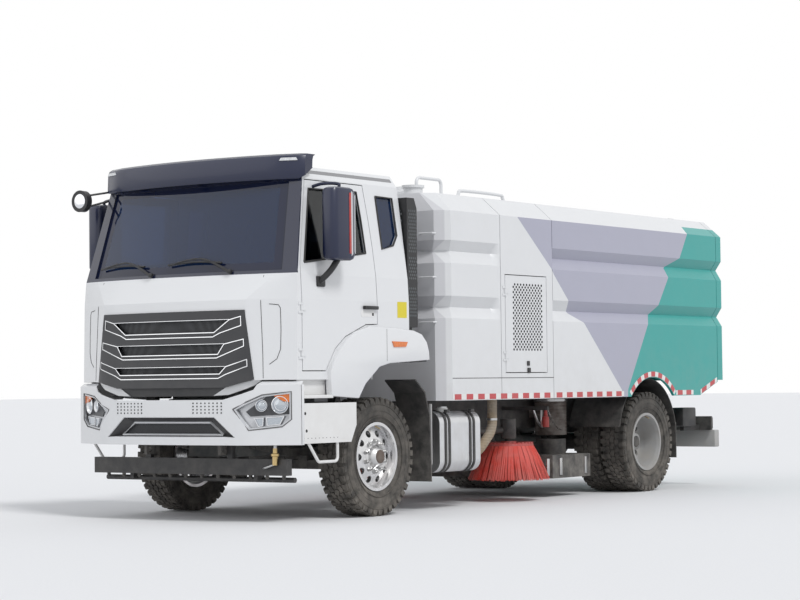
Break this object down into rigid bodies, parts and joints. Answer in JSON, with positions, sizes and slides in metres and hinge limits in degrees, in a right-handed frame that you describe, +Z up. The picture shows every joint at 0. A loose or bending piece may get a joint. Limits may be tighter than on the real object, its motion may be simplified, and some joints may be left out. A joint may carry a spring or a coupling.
{
  "type": "street sweeper truck",
  "caption": "Two-axle cab-over street sweeper truck with a ribbed tipping hopper, side brushes, suction nozzle and a steerable front axle.",
  "frame": {"origin": "on the ground, below the middle of the vehicle's bounding box", "axes": "-Y is forward, +X is the vehicle's left, +Z is up"},
  "size_m": [2.84, 7.72, 3.0839],
  "materials": {
    "white_paint": "gloss",
    "frame_black": "satin",
    "grey_paint": "satin",
    "engine_grey": "rough",
    "black_plastic": "fine grain",
    "visor_gloss": "gloss",
    "glass": "clear",
    "lamp": "clear lens",
    "red_lens": "lens",
    "rubber": "matt",
    "tyre": "dusty",
    "alloy": "polished",
    "silver_rim": "dusty",
    "tank_alloy": "brushed",
    "interior": "moulded",
    "steel": "bright",
    "bristle": "bristles",
    "hose_tan": "ribbed"
  },
  "bodies": {
    "chassis": {"chassis_frame": "frame_black", "cross_members": "frame_black", "front_axle": "frame_black", "rear_axle": "frame_black", "power_unit": "engine_grey", "water_tank": "white_paint", "engine_room": "white_paint", "aux_engine": "engine_grey", "bumper": "white_paint", "headlamps": "lamp", "intake_mesh": "black_plastic", "spray_bar": "frame_black", "side_steps": "white_paint", "fuel_tank": "tank_alloy", "air_tanks": "frame_black", "mudguards": "rubber", "rear_guard": "grey_paint", "tail_lamps": "red_lens", "roof_rails": "white_paint", "suction_duct": "rubber", "air_hose": "hose_tan", "brush_posts": "frame_black", "nozzle_hanger": "frame_black"},
    "cab": {"cab_shell": "white_paint", "cab_glass": "glass", "grille": "black_plastic", "visor": "visor_gloss", "cab_interior": "interior", "cab_fenders": "white_paint", "wipers": "black_plastic", "snorkel": "black_plastic", "kerb_mirror": "black_plastic"},
    "hopper": {"hopper": "white_paint"},
    "tailgate": {"tailgate": "white_paint"},
    "lift_barrel": {"lift_barrel": "frame_black"},
    "lift_rod": {"lift_rod": "steel"},
    "nozzle": {"nozzle": "frame_black"},
    "door_left": {"door_left": "white_paint", "door_glass_left": "glass", "mirror_left": "visor_gloss"},
    "knuckle_left": {"knuckle_left": "frame_black"},
    "wheel_front_left": {"rim_front_left": "alloy", "tyre_front_left": "tyre"},
    "wheel_rear_left": {"rim_rear_left": "silver_rim", "tyre_rear_left": "tyre"},
    "service_door_left": {"service_door_left": "white_paint"},
    "brush_arm_left": {"brush_arm_left": "frame_black"},
    "brush_left": {"brush_left": "bristle"},
    "door_right": {"door_right": "white_paint", "door_glass_right": "glass", "mirror_right": "visor_gloss"},
    "knuckle_right": {"knuckle_right": "frame_black"},
    "wheel_front_right": {"rim_front_right": "alloy", "tyre_front_right": "tyre"},
    "wheel_rear_right": {"rim_rear_right": "silver_rim", "tyre_rear_right": "tyre"},
    "service_door_right": {"service_door_right": "white_paint"},
    "brush_arm_right": {"brush_arm_right": "frame_black"},
    "brush_right": {"brush_right": "bristle"}
  },
  "joints": [
    {"name": "cab_tilt", "type": "hinge", "parent": "chassis", "child": "cab", "pos_m": [0, -3.725, 1.12], "axis": [1, 0, 0], "range_deg": [0, 50]},
    {"name": "door_swing_left", "type": "hinge", "parent": "cab", "child": "door_left", "pos_m": [1.207, -3.534, 1.6], "axis": [0, 0, -1], "range_deg": [0, 65]},
    {"name": "steer_left", "type": "hinge", "parent": "chassis", "child": "knuckle_left", "pos_m": [0.83, -2.44, 0.515], "axis": [0, 0, 1], "range_deg": [-35, 35]},
    {"name": "roll_front_left", "type": "hinge", "parent": "knuckle_left", "child": "wheel_front_left", "pos_m": [1.035, -2.44, 0.515], "axis": [1, 0, 0], "continuous": true},
    {"name": "roll_rear_left", "type": "hinge", "parent": "chassis", "child": "wheel_rear_left", "pos_m": [0.887, 2.26, 0.515], "axis": [1, 0, 0], "continuous": true},
    {"name": "service_door_left", "type": "hinge", "parent": "chassis", "child": "service_door_left", "pos_m": [1.252, -0.524, 1.7], "axis": [0, 0, -1], "range_deg": [0, 100]},
    {"name": "brush_swing_left", "type": "hinge", "parent": "chassis", "child": "brush_arm_left", "pos_m": [0.54, -0.29, 0.68], "axis": [0, 0, -1], "range_deg": [0, 32]},
    {"name": "brush_spin_left", "type": "hinge", "parent": "brush_arm_left", "child": "brush_left", "pos_m": [0.82, 0.16, 0.56], "axis": [0, 0, 1], "continuous": true},
    {"name": "door_swing_right", "type": "hinge", "parent": "cab", "child": "door_right", "pos_m": [-1.207, -3.534, 1.6], "axis": [0, 0, 1], "range_deg": [0, 65]},
    {"name": "steer_right", "type": "hinge", "parent": "chassis", "child": "knuckle_right", "pos_m": [-0.83, -2.44, 0.515], "axis": [0, 0, 1], "range_deg": [-35, 35]},
    {"name": "roll_front_right", "type": "hinge", "parent": "knuckle_right", "child": "wheel_front_right", "pos_m": [-1.035, -2.44, 0.515], "axis": [1, 0, 0], "continuous": true},
    {"name": "roll_rear_right", "type": "hinge", "parent": "chassis", "child": "wheel_rear_right", "pos_m": [-0.887, 2.26, 0.515], "axis": [1, 0, 0], "continuous": true},
    {"name": "service_door_right", "type": "hinge", "parent": "chassis", "child": "service_door_right", "pos_m": [-1.252, -0.524, 1.7], "axis": [0, 0, 1], "range_deg": [0, 100]},
    {"name": "brush_swing_right", "type": "hinge", "parent": "chassis", "child": "brush_arm_right", "pos_m": [-0.54, -0.29, 0.68], "axis": [0, 0, 1], "range_deg": [0, 32]},
    {"name": "brush_spin_right", "type": "hinge", "parent": "brush_arm_right", "child": "brush_right", "pos_m": [-0.82, 0.16, 0.56], "axis": [0, 0, -1], "continuous": true},
    {"name": "hopper_tip", "type": "hinge", "parent": "chassis", "child": "hopper", "pos_m": [0, 3.36, 0.985], "axis": [-1, 0, 0], "range_deg": [0, 45]},
    {"name": "tailgate_lift", "type": "hinge", "parent": "hopper", "child": "tailgate", "pos_m": [0, 3.69, 2.914], "axis": [1, 0, 0], "range_deg": [0, 80]},
    {"name": "lift_barrel_pivot", "type": "hinge", "parent": "chassis", "child": "lift_barrel", "pos_m": [0, 2.16, 0.85], "axis": [-1, 0, 0], "range_deg": [0, 67.1]},
    {"name": "lift_rod_slide", "type": "slide", "parent": "lift_barrel", "child": "lift_rod", "axis": [0, -0.9712, 0.2384], "range_m": [0, 0.758]},
    {"name": "nozzle_drop", "type": "hinge", "parent": "chassis", "child": "nozzle", "pos_m": [0, 0.58, 0.64], "axis": [-1, 0, 0], "range_deg": [0, 8]}
  ],
  "couplings": [
    {"joint": "steer_right", "follows": "steer_left", "ratio": 1},
    {"joint": "lift_barrel_pivot", "follows": "hopper_tip", "ratio": 1.469},
    {"joint": "lift_rod_slide", "follows": "hopper_tip", "m_per_rad": 0.95927}
  ]
}
